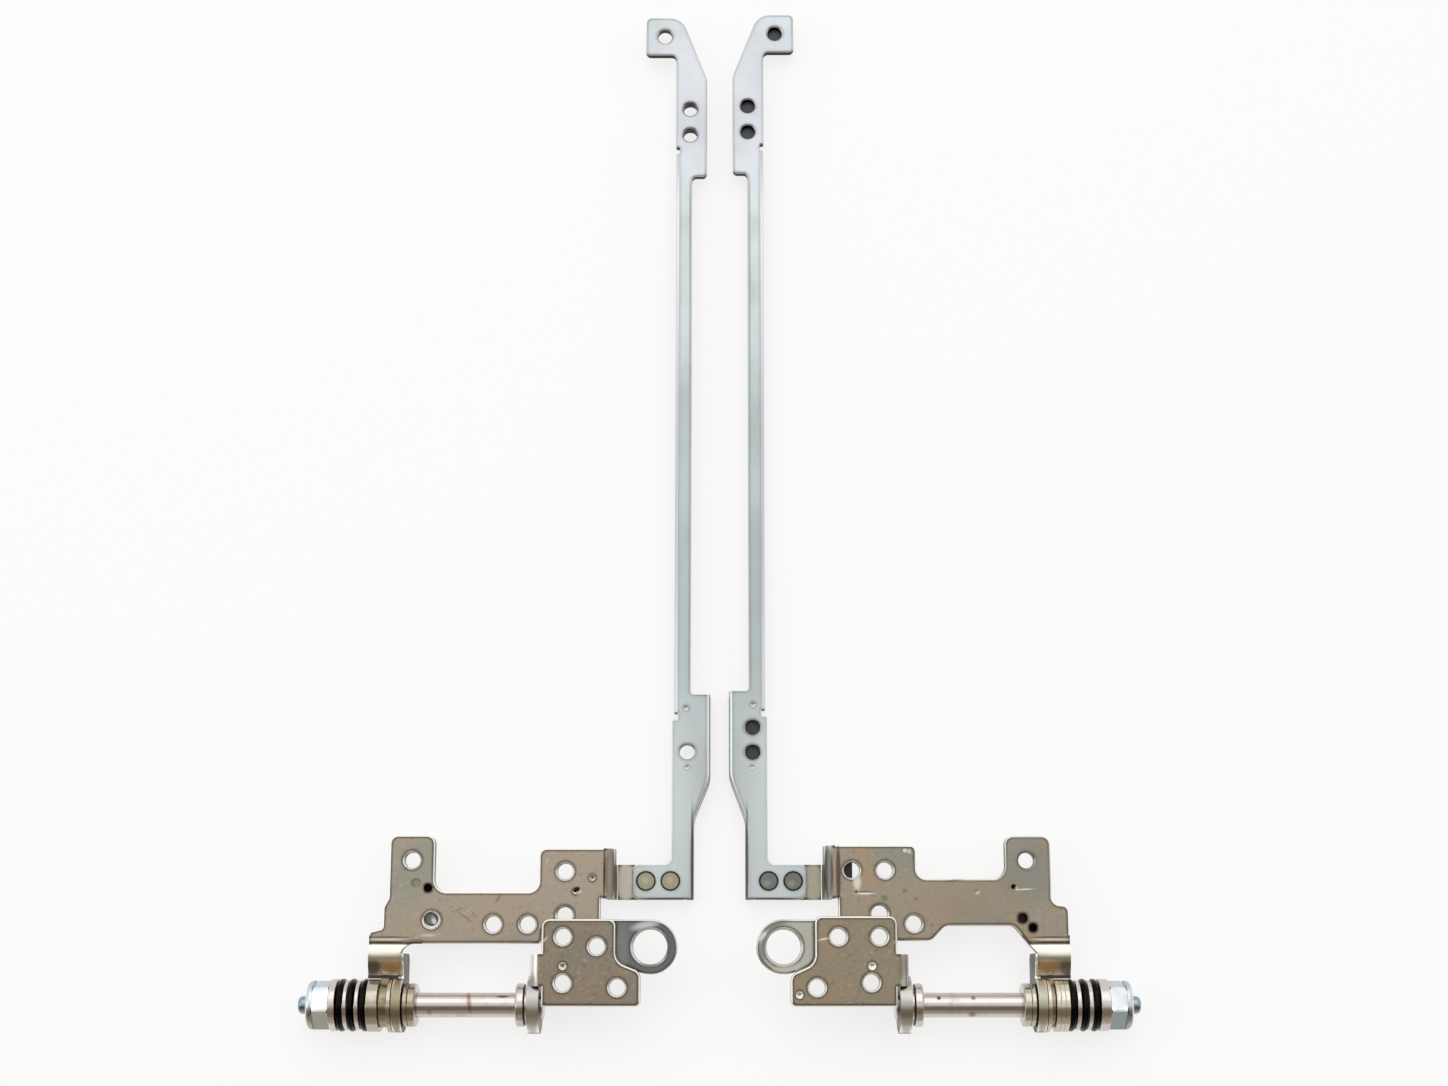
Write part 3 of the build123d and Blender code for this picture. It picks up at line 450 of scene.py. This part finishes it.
shaft_marks = {
    "left": [
        (-50.3, 0, 1.15, 4.2, 0, "A3957F", 0.9, 0.2),
        (-40.6, 0.6, 0.32, 1.6, 8, "8A5638", 0.7, 0.2),
        (-35.2, 1.35, 0.9, 0.18, 0, "4A362C", 0.8), (-47.0, -1.2, 0.4, 0.5, 0, "A88C78", 0.5)],
    "right": [
        (50.3, 0, 1.15, 4.2, 0, "B9B4A2", 0.9, 0.2), (35.6, 1.1, 0.3, 0.3, 0, "3A2230", 0.9),
        (41.2, 1.1, 0.35, 0.3, 0, "5A3040", 0.7), (41.0, -1.5, 0.6, 0.35, 0, "7A4E5A", 0.6, 0.2)]}
for side, marks in shaft_marks.items():
    shaft_steel = turned_steel(
        f"turned_steel_{side}_shaft", "CBC4BE", "A08E82", 0.19, 0.35, "8FA3AD", marks, 0.2)
    dress(f"{side}_hinge_shaft", shaft_steel)
    dress(f"{side}_thrust_washer", shaft_steel)
    print(side, "shaft and thrust washer dressed, with", len(marks), "marks")

# %% [markdown]
# ## The stack beside the ear
# The friction and pressure washers are hardened and left olive by the heat. The disc
# springs are blackened in hot oil, which leaves them glossy, and between them sit bright
# spacers. The washer under the nut is nickel plated and a little pink, and the lock nut
# is zinc plated. Each could have a recipe of its own, but all are round and turned about
# the same axis, so the shaft's recipe serves with other colours. The nut's flats mirror
# different parts of the room, and marks paint such reflections on them as well, as
# painted reflection.

# %% Washers, springs and nuts
washer_steel = {
    "left": turned_steel(
        "heat_treated_steel_left_washers", "B9B0A0", "7A6D5A", 0.2, 0.5, seed=0.4),
    "right": turned_steel(
        "heat_treated_steel_right_washers", "CDC8B6", "8F836C", 0.2, 0.45, seed=0.8)}
oily_washer = turned_steel("oiled_steel_keyed_washers", "9A8D74", "4A3F30", 0.24, 0.6, seed=0.5)
black_spring = turned_steel("blackened_spring_steel", "1A1816", "3A2A18", 0.2, 0.6)
bright_spacer = turned_steel("bright_steel_spacers", "CFC7C2", "9A8C82", 0.25, 0.3)
nickel_washer = turned_steel(
    "nickel_plated_nut_washer", "D0C8C2", "9E8C7E", 0.25, 0.35, seed=1.1)
nut_reflections = [
    # Painted reflection: olive grey on the lower flats, bluish on the upper ones, and pale on the
    # right nut's middle flat.
    (-64.5, -2.6, 2.6, 1.9, 0, "A3A293", 0.85, 0.2), (-64.5, 3.4, 2.6, 1.1, 0, "A9BBC9", 0.6, 0.4),
    (64.5, -2.6, 2.6, 1.9, 0, "93A0A4", 0.85, 0.2), (64.5, 3.4, 2.6, 1.1, 0, "A9B4BC", 0.6, 0.4),
    (64.5, 0.9, 2.0, 1.5, 0, "C6C9CC", 0.8, 0.3)]
nut_zinc = turned_steel("zinc_plated_nut", "DCE0E3", "A4A8AA", 0.27, 0.35, None, nut_reflections, 0.7)
finishes = {
    "disc_spring_1": black_spring, "disc_spring_2": black_spring, "disc_spring_3": black_spring,
    "spring_spacers": bright_spacer, "nut_washer": nickel_washer, "lock_nut": nut_zinc}
for side in ("left", "right"):
    dress(f"{side}_friction_ring", washer_steel[side])
    dress(f"{side}_pressure_washer", washer_steel[side])
    dress(f"{side}_keyed_washer", oily_washer)
    for name, material in finishes.items():
        dress(f"{side}_{name}", material)
print("finishes on", len(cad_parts), "pieces")

# %% [markdown]
# ## A dark bead in each slit
# A dark brown bead fills the slit between each raised tab and the washers and stands in
# for the shade that falls there. It could be a soft blob from metaballs, but so little of
# it shows that a box with rounded rims does: a primitive at its place, resized and
# bevelled. The same helpers then make what sits in the holes.

# %% Dark beads in the slits
SLIT_BEAD_X, SLIT_BEAD_Y, SLIT_BEAD_Z = 54.75, 4.55, 5.75      # middle of a bead, in millimetres
SLIT_BEAD_SIZE = (4.9, 0.56, 0.24)


def begin_shape():
    """Leave nothing selected, so that the next primitive is worked on alone."""
    bpy.ops.object.select_all(action="DESELECT")


def keep_shape(name, material):
    """Name, dress and hand over the active object as a piece that stays with the lid."""
    piece = bpy.context.active_object
    piece.name = name
    bpy.ops.object.transform_apply(location=True, rotation=True, scale=True)
    piece.data.materials.append(material)
    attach(piece, "lid_side")
    print(name, "has", len(piece.data.polygons), "faces")


def bevel_all(width):
    """Round every edge of the active primitive."""
    bpy.ops.object.mode_set(mode="EDIT")
    bpy.ops.mesh.select_all(action="SELECT")
    bpy.ops.mesh.bevel(offset=width, segments=3, affect="EDGES")
    bpy.ops.object.mode_set(mode="OBJECT")


def plain_finish(name, colour, roughness, metallic):
    """One even finish."""
    material = bpy.data.materials.new(name)
    material.use_nodes = True
    shader = material.node_tree.nodes["Principled BSDF"]
    shader.inputs["Base Color"].default_value = linear(colour)
    shader.inputs["Roughness"].default_value = roughness
    shader.inputs["Metallic"].default_value = metallic
    return material


# a dark piece standing in for the shade in each slit
slit_shade = plain_finish("dark_slit_fill", "33281A", 0.55, 0.0)
for side, sign in (("left", -1), ("right", 1)):
    begin_shape()
    bpy.ops.mesh.primitive_cube_add(
        size=1, location=(sign * SLIT_BEAD_X * MM, (SLIT_BEAD_Y + AXIS_Y) * MM, SLIT_BEAD_Z * MM))
    bpy.ops.transform.resize(value=[length * MM for length in SLIT_BEAD_SIZE])
    bpy.ops.object.transform_apply(location=False, rotation=False, scale=True)
    bevel_all(0.06 * MM)
    keep_shape(f"{side}_grease_bead", slit_shade)

# %% [markdown]
# ## A plug in the left bracket
# One hole of the left lid bracket holds a pressed grey plug. Its upper left is painted
# darker, as painted shade, and its lower right carries a painted highlight. It could be cut
# from the bracket's own mesh, but it is a piece of its own, so a short cylinder stands in
# the hole, a little below the plate's top.

# %% Plug of the left bracket
begin_shape()
bpy.ops.mesh.primitive_cylinder_add(
    vertices=48, radius=1.13 * MM, depth=0.6 * MM,
    location=(-47.18 * MM, (13.83 + AXIS_Y) * MM, 5.3 * MM))
bevel_all(0.08 * MM)
plug_light_and_shade = [
    (-47.6, 14.1, 0.7, 0.9, 30, "6A6E66", 0.8, 0.4),
    (-46.7, 13.5, 0.35, 0.6, 30, "E2E6E6", 0.8, 0.2)]
plug_tin = plated_steel("tin_plug", "8E9690", "7E867E", "A4ACAA", 0.4, plug_light_and_shade)
keep_shape("left_hole_plug", plug_tin)

# %% [markdown]
# ## Tape behind a hole of the right bracket
# Behind the left half of one hole of the right lid bracket a scrap of black tape shows,
# with a straight edge. A picture with a cut-out could stand in for it, but a thin disc cut
# straight by a plane is a real shape, which the export keeps.

# %% Tape
TAPE_Y, TAPE_EDGE_X = 21.8, 21.85      # the hole's middle and the tape's edge, in millimetres
begin_shape()
bpy.ops.mesh.primitive_cylinder_add(
    vertices=48, radius=1.28 * MM, depth=0.15 * MM,
    location=(21.7 * MM, (TAPE_Y + AXIS_Y) * MM, 4.95 * MM))
bpy.ops.object.mode_set(mode="EDIT")
bpy.ops.mesh.select_all(action="SELECT")
bpy.ops.mesh.bisect(
    plane_co=(TAPE_EDGE_X * MM, (TAPE_Y + AXIS_Y) * MM, 5 * MM), plane_no=(1, 0, 0),
    use_fill=True, clear_outer=True)
bpy.ops.mesh.select_all(action="SELECT")
bpy.ops.mesh.normals_make_consistent(inside=False)
bpy.ops.object.mode_set(mode="OBJECT")
keep_shape("right_hole_tape", plain_finish("black_cloth_tape", "17141E", 0.5, 0.0))

# %% [markdown]
# ## Thread lock in the right strap
# The holes of the right strap are blocked by dark dried thread lock. Five separate discs
# would do, but they are one material and move as one, so one disc is made and bevelled in
# the first hole and then copied from hole to hole within its mesh.

# %% Plugs in the holes of the right strap
begin_shape()
plug_places = [(5.55, 41.7), (5.55, 45.9), (4.95, 152.8), (4.95, 157.7), (9.8, 171.6)]
first_x, first_y = plug_places[0]
bpy.ops.mesh.primitive_cylinder_add(
    vertices=40, radius=1.29 * MM, depth=0.6 * MM,
    location=(first_x * MM, (first_y + AXIS_Y) * MM, 1.6 * MM))
bevel_all(0.05 * MM)
bpy.ops.object.mode_set(mode="EDIT")
bpy.ops.mesh.select_all(action="SELECT")
for (from_x, from_y), (to_x, to_y) in zip(plug_places, plug_places[1:]):
    bpy.ops.mesh.duplicate()
    bpy.ops.transform.translate(value=((to_x - from_x) * MM, (to_y - from_y) * MM, 0))
bpy.ops.object.mode_set(mode="OBJECT")
thread_lock = plain_finish("dried_thread_lock", "3A3F44", 0.45, 0.0)
keep_shape("right_strap_plugs", thread_lock)

# %% [markdown]
# ## The table
# A product photo is taken on a white sweep. A plain white plane would turn grey away from
# the lamps, so the table takes part of its brightness from its own glow for what the
# camera sees, straight or in a reflection. It stays white and still shows a faint soft
# shadow under the hinges. All other light meets a plain pale grey.

# %% Table
TABLE_GLOW, TABLE_FAINT = 0.765, 0.26      # brightness from the glow, and left to the lamps


def white_table():
    """Matte white that looks evenly lit and keeps a faint shadow."""
    material = bpy.data.materials.new("white_sweep")
    material.use_nodes = True
    tree = material.node_tree
    tree.nodes.clear()
    path = add(tree, "ShaderNodeLightPath").outputs
    seen = add(tree, "ShaderNodeMath", {
        0: path["Is Camera Ray"], 1: path["Is Glossy Ray"]}, operation="MAXIMUM").outputs[0]
    seen = add(tree, "ShaderNodeMath", {
        0: seen, 1: path["Is Transmission Ray"]}, operation="MAXIMUM").outputs[0]
    plain = add(tree, "ShaderNodeBsdfDiffuse", {"Color": linear("D8D8D8")}).outputs[0]
    faint = add(tree, "ShaderNodeBsdfDiffuse", {"Color": [TABLE_FAINT] * 3 + [1]}).outputs[0]
    glow = add(tree, "ShaderNodeEmission", {
        "Color": (1, 1, 1, 1), "Strength": TABLE_GLOW}).outputs[0]
    white = add(tree, "ShaderNodeAddShader", {0: faint, 1: glow}).outputs[0]
    both = add(tree, "ShaderNodeMixShader", {0: seen, 1: plain, 2: white}).outputs[0]
    add(tree, "ShaderNodeOutputMaterial", {"Surface": both})
    return material


bpy.ops.object.select_all(action="DESELECT")
bpy.ops.mesh.primitive_plane_add(size=8, location=(0, 0, 0))
table = bpy.context.active_object
table.name = "table"
table.data.materials.append(white_table())
print("table", round(table.dimensions.x, 1), "m wide")

# %% [markdown]
# ## The lamps
# Flat metal shows what is straight above it, and a round shaft shows a strip of the
# whole room. A point lamp would leave a hard dot on each, so both lamps are soft squares.
# The highlight on the shafts lies a little up the lid from their middle, so the large one
# stands over the straps' far end. A weaker one fills from the left.

# %% Lamps
def soft_lamp(name, place, aim, size, power):
    """Square soft lamp at a place, aimed at a point."""
    data = bpy.data.lights.new(name, "AREA")
    data.shape = "SQUARE"
    data.size = size
    data.energy = power
    lamp = bpy.data.objects.new(name, data)
    bpy.context.scene.collection.objects.link(lamp)
    lamp.location = place
    direction = [a - p for a, p in zip(aim, place)]
    flat = math.hypot(direction[0], direction[1])
    turn = math.atan2(direction[1], direction[0]) - math.pi / 2
    lamp.rotation_euler = (math.atan2(flat, -direction[2]), 0, turn)
    radiance = power / (math.pi * size * size)
    print(name, "shines at", round(radiance, 2), "W per square metre and steradian")


soft_lamp("key_lamp", (0.0, 0.44, 0.60), (0, -0.085, 0), 0.6, 0.9)
soft_lamp("side_lamp", (-0.8, -0.1, 0.5), (0, -0.05, 0), 0.4, 0.5)

# %% [markdown]
# ## The room
# Metal looks like metal because it mirrors a room that isn't even. A photographed room
# could be wrapped round the scene, but a few blended tones are enough and need no file.
# Overhead and towards the lamp the room is pale, towards the front it falls to brown, and
# low at the front it is a dull olive grey. The tones are laid on as coats, by how far a
# direction points up the lid, its Y. The camera itself sees plain white.

# %% Room
room = bpy.data.worlds.new("studio_room")
bpy.context.scene.world = room
room.use_nodes = True
tree = room.node_tree
tree.nodes.clear()
direction = add(tree, "ShaderNodeTexCoord").outputs["Generated"]
up_lid = add(tree, "ShaderNodeSeparateXYZ", {"Vector": direction}).outputs["Y"]
sky = coat(tree, linear("7E7264"), linear("F4F5F5"), up_lid, -0.28, 0.0)
sky = coat(tree, sky, linear("B2AE9E"), up_lid, -0.72, -0.88)
plain = add(tree, "ShaderNodeBackground", {"Color": sky, "Strength": 1.08}).outputs[0]
white = add(tree, "ShaderNodeBackground", {"Color": (1, 1, 1, 1), "Strength": 1.0}).outputs[0]
seen = add(tree, "ShaderNodeLightPath").outputs["Is Camera Ray"]
shown = add(tree, "ShaderNodeMixShader", {0: seen, 1: plain, 2: white}).outputs[0]
add(tree, "ShaderNodeOutputWorld", {"Surface": shown})
print("room has", len(tree.nodes), "nodes")

# %% [markdown]
# ## The camera
# The perspective fits a camera about 32 cm above the table. A longer lens from further away
# would frame the same, but the straps' far ends would then look wider than they do. The
# camera tips 10 degrees towards them, and its sensor is shifted a little to frame both
# hinges.

# %% Camera
PICTURE_WIDTH = 1448     # in pixels
FOCAL_LENGTH = 1900      # in pixels
lens = bpy.data.cameras.new("overhead_camera")
lens.sensor_fit = "HORIZONTAL"
lens.sensor_width = 36.0
lens.lens = FOCAL_LENGTH / PICTURE_WIDTH * lens.sensor_width
lens.shift_y = 0.08
lens.clip_start = 0.01
camera = bpy.data.objects.new("overhead_camera", lens)
bpy.context.scene.collection.objects.link(camera)
camera.location = (0.74 * MM, (1.788 + AXIS_Y) * MM, 319.39 * MM)
camera.rotation_euler = (math.radians(10), 0, 0)
bpy.context.scene.camera = camera
bpy.context.scene.view_settings.view_transform = "Standard"
print("camera", round(camera.location.z, 3), "m up with a lens of", round(lens.lens, 1), "mm")
